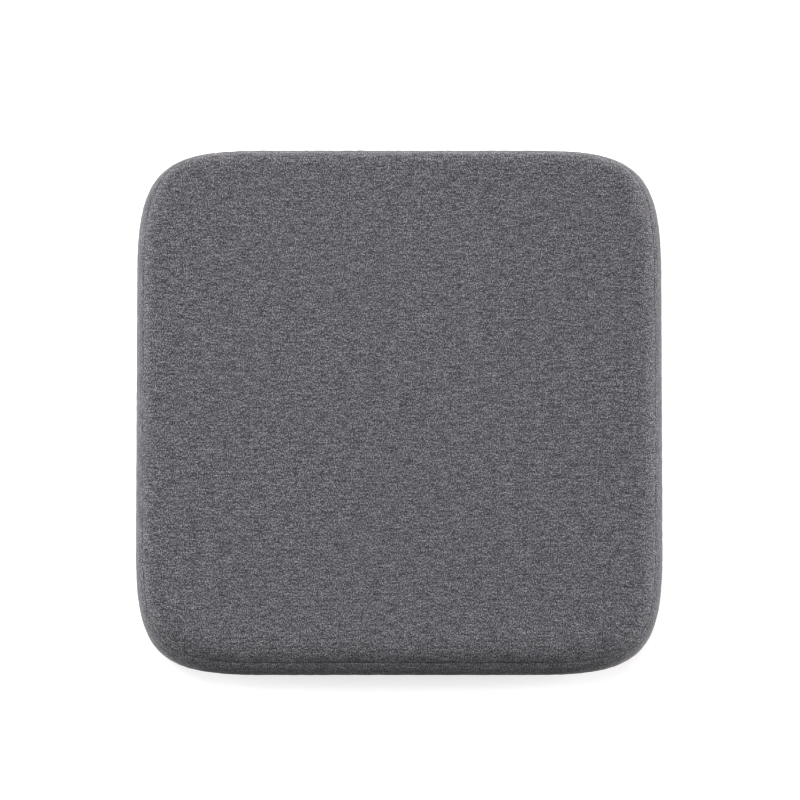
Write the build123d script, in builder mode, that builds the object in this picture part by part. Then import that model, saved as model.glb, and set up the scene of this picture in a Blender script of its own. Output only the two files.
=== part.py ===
from build123d import *

import os

os.makedirs("parts", exist_ok=True)

# A square kneeling pad: a two-layer foam cushion in a thin liner, inside a removable knit
# cover that closes with a zip along its rear side.
# Frame: +Z up, +X to the right, front at -Y. The origin is on the floor, under the middle.

# Driving dimensions, in millimetres
pad_side = 400.0  # finished width and depth of the cover
pad_thickness = 40.0  # floor to kneeling face
corner_reach = 95.0  # where each corner's curve leaves the straight sides
corner_fullness = 0.83  # length of the curve's two handles, as a share of its reach
top_roll = 12.0  # radius of the edge round the kneeling face
base_roll = 6.0  # radius of the edge round the underside
cloth = 1.2  # thickness of the knit and of the woven underside
seam_gap = 0.1  # clearance between pieces that meet at a seam
layer_gap = 0.2  # clearance between one layer and the next
comfort_thickness = 14.0  # soft foam on top of the firmer one
top_seam_height = 34.0  # top panel to side band
base_seam_height = 6.0  # side band to underside
zip_height = (top_seam_height + base_seam_height) / 2
zip_travel = 216.0  # how far the slider runs
slider_length = 12.0

# Cloth layers, each as a distance in from the cover's outer face
zip_recess = 2.0  # the zip lies in a shallow recess, so the slider is level with the wall
hem_inset = zip_recess + cloth + 0.7  # the strips beside the zip are folded under
tape_inset = hem_inset + seam_gap
tape_thickness = 0.55
liner_inset = 6.0  # leaves room for the slider's inner plate
liner_face_inset = cloth + 0.8  # less room above and below than at the sides
liner_cloth = 0.6
foam_inset = liner_inset + liner_cloth + layer_gap
foam_face_inset = liner_face_inset + liner_cloth + layer_gap

# Underside grip
dot_height = 0.8
dot_radius = 2.5
dot_pitch = 20.0
dot_field = pad_side / 2 - 18.0  # half-width of the area that carries dots


def pad_outline(inset):
    """A square whose corners are long soft curves, drawn this far inside the cover's face."""
    half = pad_side / 2 - inset
    reach = corner_reach - inset
    start = half - reach
    handle = start + corner_fullness * reach
    with BuildSketch() as outline:
        with BuildLine():
            Line((half, 0), (half, start))
            Bezier((half, start), (half, handle), (handle, half), (start, half))
            Line((start, half), (0, half))
            mirror(about=Plane.YZ)
            mirror(about=Plane.XZ)
        make_face()
    return outline.sketch


def pad_block(side_inset, face_inset):
    """The pad as one block with rolled edges, shrunk by an inset at its sides and faces."""
    with BuildPart() as block:
        with BuildSketch(Plane.XY.offset(dot_height + face_inset)):
            add(pad_outline(side_inset))
        extrude(amount=pad_thickness - dot_height - 2 * face_inset)
        fillet(block.edges().group_by(Axis.Z)[-1], top_roll - side_inset)
        fillet(block.edges().group_by(Axis.Z)[0], max(base_roll - side_inset, 1.0))
    return block.part


def pad_layer(outer, inner, low, high):
    """A closed skin between two insets, each a pair of side and face, cut at two heights."""
    with BuildPart() as layer:
        add(pad_block(*outer))
        add(pad_block(*inner), mode=Mode.SUBTRACT)
        split(bisect_by=Plane.XY.offset(low), keep=Keep.TOP)
        split(bisect_by=Plane.XY.offset(high), keep=Keep.BOTTOM)
    return layer.part


def rear_window(half_width, low, high):
    """A box that takes in the rear wall between two heights, this wide each side of middle."""
    with BuildPart() as window:
        with BuildSketch(Plane.XY.offset(low)):
            with Locations((0, pad_side / 2)):
                Rectangle(2 * half_width, pad_side / 2)
        extrude(amount=high - low)
    return window.part


below_pad = -pad_thickness
above_pad = 2 * pad_thickness
cover_face = (0, 0)
cover_inside = (cloth, cloth)

# Cushion: two foams bonded at one level
foam_split = pad_thickness - foam_face_inset - comfort_thickness

with BuildPart() as comfort_foam:
    add(pad_block(foam_inset, foam_face_inset))
    split(bisect_by=Plane.XY.offset(foam_split), keep=Keep.TOP)

with BuildPart() as support_foam:
    add(pad_block(foam_inset, foam_face_inset))
    split(bisect_by=Plane.XY.offset(foam_split), keep=Keep.BOTTOM)

# Liner: a thin sleeve in two halves, closed by an overlock thread round its middle
liner_face = (liner_inset, liner_face_inset)
liner_inside = (liner_inset + liner_cloth, liner_face_inset + liner_cloth)
liner_seam_half = 1.5

with BuildPart() as liner_top_panel:
    add(pad_layer(liner_face, liner_inside, zip_height + liner_seam_half, above_pad))

with BuildPart() as liner_base_panel:
    add(pad_layer(liner_face, liner_inside, below_pad, zip_height - liner_seam_half))

with BuildPart() as liner_seam_thread:
    add(
        pad_layer(
            liner_face,
            liner_inside,
            zip_height - liner_seam_half + seam_gap,
            zip_height + liner_seam_half - seam_gap,
        )
    )

# Cover: top panel and underside, joined by a band round the sides
with BuildPart() as cover_top_panel:
    add(pad_layer(cover_face, cover_inside, top_seam_height + seam_gap, above_pad))

with BuildPart() as cover_base_panel:
    add(pad_layer(cover_face, cover_inside, below_pad, base_seam_height - seam_gap))

# The rear of the band is a panel of its own, made of two strips with the zip between them
zip_panel_half = 140.0
zip_opening_half = zip_travel / 2 + slider_length + 4.0
strip_edge = 6.0  # from the zip's middle to the folded edge of a strip
hem_depth = 9.6  # from the zip's middle to the far edge of the folded part
step_height = 0.8  # the strip's step from the wall's face in to the recess

with BuildPart() as side_band:
    add(pad_layer(cover_face, cover_inside, base_seam_height, top_seam_height))
    add(rear_window(zip_panel_half, 0, pad_thickness), mode=Mode.SUBTRACT)

recess_face = (zip_recess, zip_recess)
hem_inside = (hem_inset, hem_inset)

with BuildPart() as zip_strip_upper:
    add(pad_layer(recess_face, hem_inside, zip_height + strip_edge, zip_height + hem_depth))
    add(
        pad_layer(
            cover_face,
            hem_inside,
            zip_height + hem_depth - step_height,
            zip_height + hem_depth,
        )
    )
    add(pad_layer(cover_face, cover_inside, zip_height + hem_depth, top_seam_height))
    add(rear_window(zip_panel_half - seam_gap, 0, pad_thickness), mode=Mode.INTERSECT)

with BuildPart() as zip_strip_lower:
    add(pad_layer(recess_face, hem_inside, zip_height - hem_depth, zip_height - strip_edge))
    add(
        pad_layer(
            cover_face,
            hem_inside,
            zip_height - hem_depth,
            zip_height - hem_depth + step_height,
        )
    )
    add(pad_layer(cover_face, cover_inside, base_seam_height, zip_height - hem_depth))
    add(rear_window(zip_panel_half - seam_gap, 0, pad_thickness), mode=Mode.INTERSECT)

# Knit patches cover the ends of the zip, between the strips
with BuildPart() as zip_end_patches:
    add(
        pad_layer(
            recess_face,
            (zip_recess + cloth, zip_recess + cloth),
            zip_height - strip_edge + seam_gap,
            zip_height + strip_edge - seam_gap,
        )
    )
    add(rear_window(zip_panel_half - seam_gap, 0, pad_thickness), mode=Mode.INTERSECT)
    add(rear_window(zip_opening_half, 0, pad_thickness), mode=Mode.SUBTRACT)

end_patches = zip_end_patches.solids().sort_by(Axis.X)

# Overlock threads bind the raw edges inside the two long seams
thread_face = (cloth + seam_gap, cloth + seam_gap)
thread_inside = (cloth + 1.7, cloth + seam_gap)
thread_width = 3.9

with BuildPart() as top_seam_thread:
    add(
        pad_layer(
            thread_face, thread_inside, top_seam_height - thread_width, top_seam_height
        )
    )

with BuildPart() as base_seam_thread:
    add(
        pad_layer(
            thread_face, thread_inside, base_seam_height, base_seam_height + thread_width
        )
    )

# Grip dots: short cones in staggered rows, inside a rounded field
dot_rows = range(-int(dot_field // dot_pitch), int(dot_field // dot_pitch) + 1)
dot_grid = [
    ((column + row % 2 / 2) * dot_pitch, row * dot_pitch)
    for row in dot_rows
    for column in range(dot_rows.start - 1, dot_rows.stop)
]
dot_places = [
    (x, y, dot_height / 2)
    for x, y in dot_grid
    if (x / dot_field) ** 4 + (y / dot_field) ** 4 <= 1
]

with BuildPart() as grip_dots:
    with Locations(dot_places):
        Cone(dot_radius - 0.5, dot_radius, dot_height)

# Care label: a blank strip that lies between the underside and the liner
label_size = (30.0, 45.0)
label_thickness = 0.3
label_place = (-90.0, 140.0)

with BuildPart() as care_label:
    with BuildSketch(Plane.XY.offset(dot_height + cloth + layer_gap)):
        with Locations(label_place):
            RectangleRounded(*label_size, radius=2)
    extrude(amount=label_thickness)

# Zip, on the rear wall. Sketches lie on planes that look along +Y: their x runs along -X,
# their y up along +Z, and they start at the zip's middle line.
rear = Plane(origin=(0, 0, zip_height), x_dir=(-1, 0, 0), z_dir=(0, 1, 0))
tape_level = pad_side / 2 - tape_inset
tape_slit = 0.9  # from the middle line to each tape's inner edge
tape_edge = 9.5  # from the middle line to each tape's outer edge
tape_half = zip_opening_half + 4.0
tape_inside = (tape_inset + tape_thickness, tape_inset + tape_thickness)

with BuildPart() as zip_tape_upper:
    add(
        pad_layer(
            (tape_inset, tape_inset), tape_inside, zip_height + tape_slit, zip_height + tape_edge
        )
    )
    add(rear_window(tape_half, 0, pad_thickness), mode=Mode.INTERSECT)

with BuildPart() as zip_tape_lower:
    add(
        pad_layer(
            (tape_inset, tape_inset), tape_inside, zip_height - tape_edge, zip_height - tape_slit
        )
    )
    add(rear_window(tape_half, 0, pad_thickness), mode=Mode.INTERSECT)

# Slider: closed end at the right, seen from behind
slider_place = (zip_travel + slider_length / 2) / 2
neck_length = 2.6
neck_width = 1.4
coil_pitch = 1.7
coil_wire = 0.72
coil_reach = 3.0  # from the middle line to the back of an element
coil_overlap = 1.0  # how far an element's head passes the middle line
coil_height = 1.6
coil_start = slider_place + slider_length / 2 - neck_length - 1.0
coil_count = int((coil_start + slider_place) // coil_pitch)

# Coil elements: round-ended bars, the lower row half a pitch along, so the heads interlock
with BuildPart() as zip_coil_upper:
    with BuildSketch(rear.offset(tape_level)):
        with Locations(
            [
                (coil_start - i * coil_pitch, (coil_reach - coil_overlap) / 2)
                for i in range(coil_count)
            ]
        ):
            SlotOverall(coil_reach + coil_overlap, coil_wire, rotation=90)
    extrude(amount=coil_height)

with BuildPart() as zip_coil_lower:
    with BuildSketch(rear.offset(tape_level)):
        with Locations(
            [
                (coil_start - (i + 0.5) * coil_pitch, (coil_overlap - coil_reach) / 2)
                for i in range(coil_count)
            ]
        ):
            SlotOverall(coil_reach + coil_overlap, coil_wire, rotation=90)
    extrude(amount=coil_height)

# Slider body: outer and inner plates joined by a neck, with flanges that guide the coil
plate = 0.8
play = 0.2  # running clearance round the coil and the tape
outer_plate_level = tape_level + coil_height + play
inner_plate_level = tape_level - tape_thickness - play - plate
tail_half = 3.9
front_half = 5.0
flange = 0.6
flare_start = 1.0  # ahead of the slider's middle, where it starts to widen


def slider_shape(inward, overrun):
    """Plan of the slider: straight tail, then wider towards its front, less a margin."""
    front = slider_length / 2 + overrun
    with BuildSketch() as shape:
        with BuildLine():
            Polyline(
                (-front, tail_half - inward),
                (flare_start, tail_half - inward),
                (front - 1.5, front_half - inward),
                (front, front_half - inward),
                (front, 0),
                (-front, 0),
                close=True,
            )
        make_face()
        mirror(about=Plane.XZ)
    return shape.sketch


bridge_width = 2.0
bridge_wire = 0.7
bridge_half = 3.1  # half its length along the slider
bridge_gap = 1.3  # room under it for the pull's bar
bridge_base = outer_plate_level + plate
corner_round = 0.7
neck_place = slider_place + (slider_length - neck_length) / 2 - 0.3

with BuildPart() as slider_body:
    for plate_level in (outer_plate_level, inner_plate_level):
        with BuildSketch(rear.offset(plate_level)):
            with Locations((slider_place, 0)):
                add(slider_shape(0, 0))
            fillet(vertices(), corner_round)
        extrude(amount=plate)
    with BuildSketch(rear.offset(tape_level + play)):
        with Locations((slider_place, 0)):
            add(slider_shape(0, -corner_round))
            add(slider_shape(flange, 0), mode=Mode.SUBTRACT)
    extrude(amount=coil_height)
    with BuildSketch(rear.offset(inner_plate_level + plate)):
        with Locations((neck_place, 0)):
            SlotOverall(neck_length, neck_width)
    extrude(amount=outer_plate_level - inner_plate_level - plate)
    with BuildSketch(Plane.XY.offset(zip_height - bridge_width / 2)):
        with Locations((-slider_place, bridge_base)):
            Rectangle(
                2 * bridge_half,
                bridge_gap + bridge_wire,
                align=(Align.CENTER, Align.MIN),
            )
            fillet(vertices().group_by(Axis.Y)[-1], 1.2)
            Rectangle(
                2 * (bridge_half - bridge_wire),
                bridge_gap,
                align=(Align.CENTER, Align.MIN),
                mode=Mode.SUBTRACT,
            )
    extrude(amount=bridge_width)

# Pull: an eyelet whose bar turns under the bridge, and a tab with a hole near its end.
# At rest it lies along the closed zip.
pull_thickness = 0.8
bar_radius = 0.42
pull_axis = bridge_base + bridge_gap / 2
eyelet_reach = 4.1  # from the bar's axis to the far side of the eyelet's hole
eyelet_half = 2.4
eyelet_hole_half = bridge_width / 2 + 0.25
tab_length = 17.0
tab_width = 6.0
tab_hole_length = 6.0
tab_hole_width = 2.6

with BuildPart() as slider_pull:
    with BuildSketch(rear.offset(pull_axis - pull_thickness / 2)):
        with Locations((slider_place + bar_radius, 0)):
            Rectangle(
                eyelet_reach + 3.0,
                2 * eyelet_half,
                align=(Align.MAX, Align.CENTER),
            )
        with Locations((slider_place - eyelet_reach - tab_length / 2, 0)):
            SlotOverall(tab_length, tab_width)
        with Locations((slider_place - bar_radius, 0)):
            Rectangle(
                eyelet_reach - bar_radius,
                2 * eyelet_hole_half,
                align=(Align.MAX, Align.CENTER),
                mode=Mode.SUBTRACT,
            )
        with Locations((slider_place - eyelet_reach - tab_length + tab_hole_length, 0)):
            SlotOverall(tab_hole_length, tab_hole_width, mode=Mode.SUBTRACT)
    extrude(amount=pull_thickness)
    with Locations((-slider_place, pull_axis, zip_height)):
        Cylinder(bar_radius, 2 * eyelet_half)

# Stops: one clip on each tape at the closed end, one bar across both at the open end. Each is
# wide enough to meet the slider's flanges.
stop_length = 2.2
top_stop_place = slider_place + slider_length / 2 + 0.3 + stop_length / 2
top_stop_half = front_half - 0.2
bottom_stop_place = coil_start - coil_count * coil_pitch - stop_length / 2 - coil_wire
bottom_stop_half = tail_half - 0.1

with BuildPart() as zip_top_stops:
    with BuildSketch(rear.offset(tape_level)):
        for side in (1, -1):
            with Locations((top_stop_place, side * (tape_slit + top_stop_half) / 2)):
                RectangleRounded(stop_length, top_stop_half - tape_slit, radius=0.4)
    extrude(amount=coil_height)

with BuildPart() as zip_bottom_stop:
    with BuildSketch(rear.offset(tape_level)):
        with Locations((bottom_stop_place, 0)):
            RectangleRounded(stop_length, 2 * bottom_stop_half, radius=0.4)
    extrude(amount=coil_height)

# Stitches: a row beside each folded strip edge, through strip and tape
stitch_pitch = 3.2
stitch_line = strip_edge + 1.6
stitch_count = int(2 * (tape_half - 3.0) // stitch_pitch)

with BuildPart() as zip_stitching:
    with BuildSketch(rear.offset(pad_side / 2 - zip_recess)):
        with GridLocations(stitch_pitch, 2 * stitch_line, stitch_count, 2):
            SlotOverall(2.4, 0.5)
    extrude(amount=0.3)

with BuildPart() as zip_end_patch_left:
    add(end_patches[0])

with BuildPart() as zip_end_patch_right:
    add(end_patches[1])

pieces = {
    "comfort_foam": comfort_foam,
    "support_foam": support_foam,
    "liner_top_panel": liner_top_panel,
    "liner_base_panel": liner_base_panel,
    "liner_seam_thread": liner_seam_thread,
    "cover_top_panel": cover_top_panel,
    "side_band": side_band,
    "zip_strip_upper": zip_strip_upper,
    "zip_strip_lower": zip_strip_lower,
    "zip_end_patch_left": zip_end_patch_left,
    "zip_end_patch_right": zip_end_patch_right,
    "cover_base_panel": cover_base_panel,
    "grip_dots": grip_dots,
    "top_seam_thread": top_seam_thread,
    "base_seam_thread": base_seam_thread,
    "care_label": care_label,
    "zip_tape_upper": zip_tape_upper,
    "zip_tape_lower": zip_tape_lower,
    "zip_coil_upper": zip_coil_upper,
    "zip_coil_lower": zip_coil_lower,
    "zip_top_stops": zip_top_stops,
    "zip_bottom_stop": zip_bottom_stop,
    "slider_body": slider_body,
    "slider_pull": slider_pull,
    "zip_stitching": zip_stitching,
}

for name, piece in pieces.items():
    piece.part.label = name
    export_step(piece.part, f"parts/{name}.step")

print(f"slider at x = {-slider_place}, pull turns about y = {pull_axis:.2f}, z = {zip_height}")
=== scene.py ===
import math

import bmesh
import bpy
import numpy as np
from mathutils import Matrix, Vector


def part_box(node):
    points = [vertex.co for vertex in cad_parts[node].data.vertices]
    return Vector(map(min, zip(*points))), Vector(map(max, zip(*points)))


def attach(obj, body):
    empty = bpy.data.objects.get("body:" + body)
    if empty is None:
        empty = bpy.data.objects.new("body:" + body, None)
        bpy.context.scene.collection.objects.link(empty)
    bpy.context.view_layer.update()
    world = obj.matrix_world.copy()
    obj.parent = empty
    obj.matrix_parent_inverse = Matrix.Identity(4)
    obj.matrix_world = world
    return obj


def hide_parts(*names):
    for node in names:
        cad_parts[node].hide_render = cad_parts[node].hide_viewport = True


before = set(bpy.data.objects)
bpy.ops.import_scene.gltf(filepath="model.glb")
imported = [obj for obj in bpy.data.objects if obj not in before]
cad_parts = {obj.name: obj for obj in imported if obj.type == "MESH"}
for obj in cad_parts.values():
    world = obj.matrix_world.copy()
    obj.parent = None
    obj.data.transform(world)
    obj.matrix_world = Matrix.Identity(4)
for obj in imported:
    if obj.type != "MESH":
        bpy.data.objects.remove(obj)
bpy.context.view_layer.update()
scene = bpy.context.scene
mm = 0.001


# ---- Studio ----
# A pale backlit floor under two softboxes behind and above the pad, with a low strip light at
# each side that catches the cloth's nap along its edges. The camera looks almost straight
# down.
def srgb(code):
    """Linear colour of an sRGB hex value."""
    parts = np.array([int(code[i : i + 2], 16) for i in (1, 3, 5)]) / 255
    linear = np.where(parts > 0.04045, ((parts + 0.055) / 1.055) ** 2.4, parts / 12.92)
    return (*linear.tolist(), 1.0)


def feed(tree, node, inputs):
    """Fills a node's inputs: a socket, or another node's first output, is linked, and anything
    else is set as a value."""
    for name, value in inputs.items():
        if isinstance(value, bpy.types.Node):
            value = value.outputs[0]
        if isinstance(value, bpy.types.NodeSocket):
            tree.links.new(value, node.inputs[name])
        else:
            node.inputs[name].default_value = value


def add_node(tree, kind, inputs=None, stops=(), **settings):
    """Adds one node with its own settings, its inputs and, on a colour ramp, its stops."""
    made = tree.nodes.new(kind)
    for name, value in settings.items():
        setattr(made, name, value)
    feed(tree, made, inputs or {})
    if stops:
        marks = made.color_ramp.elements
        for mark, (position, colour) in ((marks[0], stops[0]), (marks[1], stops[-1])):
            mark.position, mark.color = position, srgb(colour)
        for position, colour in stops[1:-1]:
            marks.new(position).color = srgb(colour)
    return made


def new_material(name):
    """An empty node material: its tree and the shader that ends in its output."""
    made = bpy.data.materials.new(name)
    made.use_nodes = True
    made.node_tree.nodes.clear()
    shader = add_node(made.node_tree, "ShaderNodeBsdfPrincipled")
    add_node(made.node_tree, "ShaderNodeOutputMaterial", {"Surface": shader})
    return made, made.node_tree, shader


def aim(thing, place, target):
    """Puts a lamp or camera at a place, looking at a target."""
    thing.location = place
    way = (target[0] - place[0], target[1] - place[1], target[2] - place[2])
    thing.rotation_euler = Vector(way).to_track_quat("-Z", "Y").to_euler()


floor_reach = 6.0
floor_mesh = bpy.data.meshes.new("studio_floor")
corners = [(-floor_reach, -floor_reach, 0), (floor_reach, -floor_reach, 0)]
corners += [(floor_reach, floor_reach, 0), (-floor_reach, floor_reach, 0)]
floor_mesh.from_pydata(corners, [], [(0, 1, 2, 3)])
floor = bpy.data.objects.new("studio_floor", floor_mesh)
scene.collection.objects.link(floor)
backlit_floor, tree, shader = new_material("floor_backlit_white_acrylic")
seen = add_node(tree, "ShaderNodeLightPath").outputs["Is Camera Ray"]
glow = add_node(tree, "ShaderNodeMath", {0: seen, 1: 0.78}, operation="MULTIPLY")
feed(tree, shader, {"Base Color": srgb("#bcb6b2"), "Roughness": 0.9})
feed(tree, shader, {"Emission Color": srgb("#fbfbfd"), "Emission Strength": glow})
floor_mesh.materials.append(backlit_floor)

world = bpy.data.worlds.new("studio")
world.use_nodes = True
tree = world.node_tree
tree.nodes.clear()
seen = add_node(tree, "ShaderNodeLightPath").outputs["Is Camera Ray"]
glow = add_node(tree, "ShaderNodeMath", {0: seen, 1: 1.1, 2: 0.07}, operation="MULTIPLY_ADD")
sky = add_node(tree, "ShaderNodeBackground", {"Color": srgb("#fafafc"), "Strength": glow})
add_node(tree, "ShaderNodeOutputWorld", {"Surface": sky})
scene.world = world
scene.view_settings.view_transform = "Standard"

# Each light: its kind, where it stands, its strength, and how wide it looks, in degrees, or
# how wide it is, in metres.
lamps = {
    "rear_softbox": ("SUN", (-0.12, 0.7, 1.0), 2.5, 55),
    "left_strip": ("SUN", (-1.0, 0.22, 0.07), 6.4, 30),
    "right_strip": ("SUN", (1.0, 0.2, 0.07), 8.8, 30),
    "left_softbox": ("AREA", (-0.9, 0.75, 1.25), 13.5, 0.8),
}
for lamp_name, (kind, place, power, width) in lamps.items():
    lamp = bpy.data.lights.new(lamp_name, kind)
    lamp.energy = power
    if kind == "SUN":
        lamp.angle = math.radians(width)
    else:
        lamp.size = width
    holder = bpy.data.objects.new(lamp_name, lamp)
    scene.collection.objects.link(holder)
    aim(holder, place, (0, 0, 0))

view_width = 0.6121  # width of floor that fills the frame
view_distance = 4.0
view_elevation = math.radians(85)
view_centre = (0.0006, 0.011)  # where the frame's middle falls, across and up from the pad's
camera_data = bpy.data.cameras.new("camera")
camera_data.sensor_width = 36.0
camera_data.lens = camera_data.sensor_width * view_distance / view_width
camera = bpy.data.objects.new("camera", camera_data)
scene.collection.objects.link(camera)
up_y, up_z = math.sin(view_elevation), math.cos(view_elevation)
look_at = (view_centre[0], view_centre[1] * up_y, view_centre[1] * up_z)
aim(camera, (look_at[0], look_at[1] - view_distance * up_z, look_at[2] + view_distance * up_y), look_at)
scene.camera = camera


# ---- Support foam ----
# The lower block of firm polyurethane foam, cut to the pad's outline with its lower edge
# rounded. Every layer of the pad follows one outline: straight sides and long soft corners.
half_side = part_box("side_band")[1][0]
corner_reach = 95 * mm
corner_fullness = 0.83
middle_height = (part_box("zip_coil_upper")[1][2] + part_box("zip_coil_lower")[0][2]) / 2
top_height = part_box("cover_top_panel")[1][2] - 0.6 * mm
base_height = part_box("cover_base_panel")[0][2]
split_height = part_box("comfort_foam")[0][2]
crown = 1.8 * mm
side_roll = 23 * mm  # how far in from the edge the upper roll begins
front_extra, rear_less = 7 * mm, 9 * mm  # the front roll is longer, the rear one shorter
base_roll = 13 * mm
foam_side_gap, foam_face_gap = 6.8 * mm, 2.8 * mm


def quarter_edge():
    """A half side, one corner as a cubic Bezier curve, and the next half side."""
    start = half_side - corner_reach
    handle = start + corner_fullness * corner_reach
    run = np.linspace(0, start, 200, endpoint=False)
    t = np.linspace(0, 1, 624, endpoint=False)
    weights = np.array([(1 - t) ** 3, 3 * (1 - t) ** 2 * t, 3 * (1 - t) * t**2, t**3])
    curve_x = np.array([half_side, half_side, handle, start]) @ weights
    curve_y = np.array([start, handle, half_side, half_side]) @ weights
    x = np.concatenate([np.full(200, half_side), curve_x, run[::-1] + start / 200])
    y = np.concatenate([run, curve_y, np.full(200, half_side)])
    return x, y


quarter_x, quarter_y = quarter_edge()
loop_x = np.concatenate([quarter_y, quarter_x, -quarter_y, -quarter_x])
loop_y = np.concatenate([-quarter_x, quarter_y, quarter_x, -quarter_y])
loop = np.stack([np.append(loop_x, loop_x[0]), np.append(loop_y, loop_y[0])], 1)
loop_run = np.append(0, np.cumsum(np.linalg.norm(np.diff(loop, axis=0), axis=1)))
edge_length = loop_run[-1]
edge_samples = 8192
edge_run = np.linspace(0, edge_length, edge_samples, endpoint=False)
edge_points = np.stack([np.interp(edge_run, loop_run, loop[:, k]) for k in (0, 1)], 1)
edge_along = np.roll(edge_points, -8, 0) - np.roll(edge_points, 8, 0)
edge_along /= np.linalg.norm(edge_along, axis=1, keepdims=True)
edge_out = np.stack([edge_along[:, 1], -edge_along[:, 0]], 1)


def edge_at(turn):
    """Point and outward direction on the pad's edge, a share of the way round from the middle
    of the front, anticlockwise from above, with straight lines between stored samples."""
    place = np.mod(turn, 1) * edge_samples
    low = np.floor(place).astype(int) % edge_samples
    part = (place - np.floor(place))[..., None]
    high = (low + 1) % edge_samples
    point = edge_points[low] * (1 - part) + edge_points[high] * part
    out = edge_out[low] * (1 - part) + edge_out[high] * part
    return point, out


def smooth(t):
    """Eases from 0 to 1: three t squared less two t cubed."""
    t = np.clip(t, 0, 1)
    return t * t * (3 - 2 * t)


def zip_stiffness(turn):
    """1 beside the zip, where the rear wall is held flat, easing to 0 round the corners."""
    from_zip = np.abs(np.mod(turn, 1) - 0.5) * edge_length
    return smooth((195 * mm - from_zip) / (50 * mm))


# A path runs over the pad: 0 to 1 from the middle of the top to its roll, 1 to 2 over the
# roll to the widest height, 2 to 3 under the edge, 3 to 4 to the middle of the underside.
def path_of_height(height):
    """Where along the path the edge is at a height: the roll is a quarter turn of a sine."""
    if height > middle_height:
        rise = (height - middle_height) / (top_height - middle_height)
        return 2 - math.asin(rise) * 2 / math.pi
    return 2 + math.asin((middle_height - height) / (middle_height - base_height)) * 2 / math.pi


def plain_cover(turn, path):
    """Points of the filled pad with no creases. The roll is a superellipse, |inset|^2.6, or
    ^2.4 at the front, with |height|^2, or ^4 beside the zip; the top's crown falls off as
    (1 - r^2)^2."""
    turn, path = np.broadcast_arrays(turn, path)
    ring = np.where(path < 1, path, np.where(path > 3, 4 - path, 1.0))
    angle = (2 - np.clip(path, 1, 3)) * math.pi / 2
    level = np.abs(np.sin(angle))
    roundness = 2 + 2 * zip_stiffness(turn)
    point, out = edge_at(turn)
    front, rear = smooth(-out[..., 1]), smooth(out[..., 1])
    top_roll = side_roll + front_extra * front - rear_less * rear
    power = np.where(angle > 0, 2.6 - 0.2 * front, 2.6)
    fall = 1 - np.clip(1 - level**roundness, 0, 1) ** (1 / power)
    inset = fall * np.where(angle > 0, top_roll, base_roll)
    flat = (point - inset[..., None] * out) * ring[..., None]
    rise = np.where(angle > 0, top_height - middle_height, middle_height - base_height)
    height = middle_height + np.sin(angle) * rise
    height = height + np.where(path < 1, crown * (1 - ring**2) ** 2, 0)
    return np.concatenate([flat, height[..., None]], -1)


def outward(points, closed):
    """Unit normals of a grid of points, from the differences between neighbours."""
    if closed:
        du = np.roll(points, -1, 0) - np.roll(points, 1, 0)
    else:
        du = np.gradient(points, axis=0)
    normal = np.cross(np.gradient(points, axis=1), du)
    return normal / (np.linalg.norm(normal, axis=-1, keepdims=True) + 1e-12)


def under_cover(turns, paths, side_gap, face_gap):
    """Points inside the plain cover: moved in along its normals by the side gap at the widest
    height and the face gap on the flats, blended by the cosine squared of the roll."""
    points = plain_cover(turns[:, None], paths[None, :])
    lean = np.cos((2 - np.clip(paths, 1, 3)) * math.pi / 2) ** 2
    gap = face_gap + (side_gap - face_gap) * lean
    return points - outward(points, True) * gap[None, :, None]


def grid_faces(rows, columns, round_rows=False, round_columns=False):
    """Quads of a grid of points; a round direction joins its last line to its first."""
    i = np.arange(rows if round_rows else rows - 1)[:, None]
    j = np.arange(columns if round_columns else columns - 1)[None, :]
    next_i = (i + 1) % rows
    next_j = (j + 1) % columns
    quads = [i * columns + j, i * columns + next_j, next_i * columns + next_j, next_i * columns + j]
    return np.stack(np.broadcast_arrays(*quads), -1).reshape(-1, 4)


def mesh_from(name, points, *faces):
    """A smooth-shaded mesh object of points and arrays of faces, each array of one size."""
    made = bpy.data.meshes.new(name)
    made.vertices.add(len(points))
    made.vertices.foreach_set("co", np.asarray(points, np.float32).ravel())
    corners = np.concatenate([part.ravel() for part in faces]).astype(np.int32)
    sides = np.concatenate([np.full(len(part), part.shape[1]) for part in faces])
    made.loops.add(len(corners))
    made.loops.foreach_set("vertex_index", corners)
    made.polygons.add(len(sides))
    made.polygons.foreach_set("loop_start", (np.cumsum(sides) - sides).astype(np.int32))
    made.update(calc_edges=True)
    made.validate()
    made.polygons.foreach_set("use_smooth", np.ones(len(made.polygons), bool))
    piece = bpy.data.objects.new(name, made)
    scene.collection.objects.link(piece)
    return piece


def rings(name, points, first_pole, last_pole):
    """A mesh of closed rings, whose first and last may each close on a pole with a fan."""
    turns, rows = points.shape[:2]
    vertices = [points.reshape(-1, 3)]
    faces = [grid_faces(turns, rows, round_rows=True)]
    start = np.arange(turns) * rows
    after = np.roll(start, -1)
    pole = turns * rows
    if first_pole:
        vertices.append(points[:, 0].mean(0)[None])
        faces.append(np.stack([np.full(turns, pole), start, after], 1))
        pole += 1
    if last_pole:
        vertices.append(points[:, -1].mean(0)[None])
        faces.append(np.stack([np.full(turns, pole), after + rows - 1, start + rows - 1], 1))
    return mesh_from(name, np.concatenate(vertices), *faces)


def round_edges(piece, width, segments=2, angle=40):
    """Rounds a piece's sharp edges."""
    bevel = piece.modifiers.new("rounded_edges", "BEVEL")
    bevel.width = width
    bevel.segments = segments
    bevel.limit_method = "ANGLE"
    bevel.angle_limit = math.radians(angle)


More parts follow.
